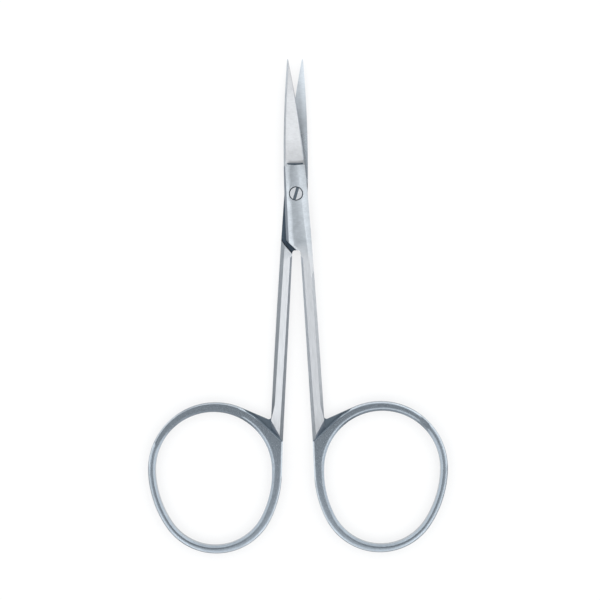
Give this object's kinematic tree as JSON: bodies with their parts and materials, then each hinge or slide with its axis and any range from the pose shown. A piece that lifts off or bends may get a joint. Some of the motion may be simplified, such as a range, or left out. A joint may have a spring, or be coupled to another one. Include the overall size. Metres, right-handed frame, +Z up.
{
  "type": "suture scissors",
  "caption": "Small ring-handled suture scissors with straight pointed blades, lapped on a slotted pivot screw, lying slightly open.",
  "frame": {"origin": "under the middle of the whole tool as it lies, on the surface that it lies on", "axes": "+Y towards the tips, +X towards the front half's ring, +Z up out of the front face"},
  "size_m": [0.067, 0.1104, 0.0032],
  "materials": {
    "satin_steel": "satin-ground stainless steel, finely brushed along the blades and shanks",
    "screw_steel": "turned stainless steel, lightly polished"
  },
  "bodies": {
    "rear": {"rear_half": "satin_steel", "pivot_screw": "screw_steel"},
    "front": {"front_half": "satin_steel"}
  },
  "joints": [
    {"name": "pivot", "type": "hinge", "parent": "rear", "child": "front", "pos_m": [0, 0.02505, 0.0016], "axis": [0, 0, 1], "range_deg": [-6.3, 140]}
  ]
}
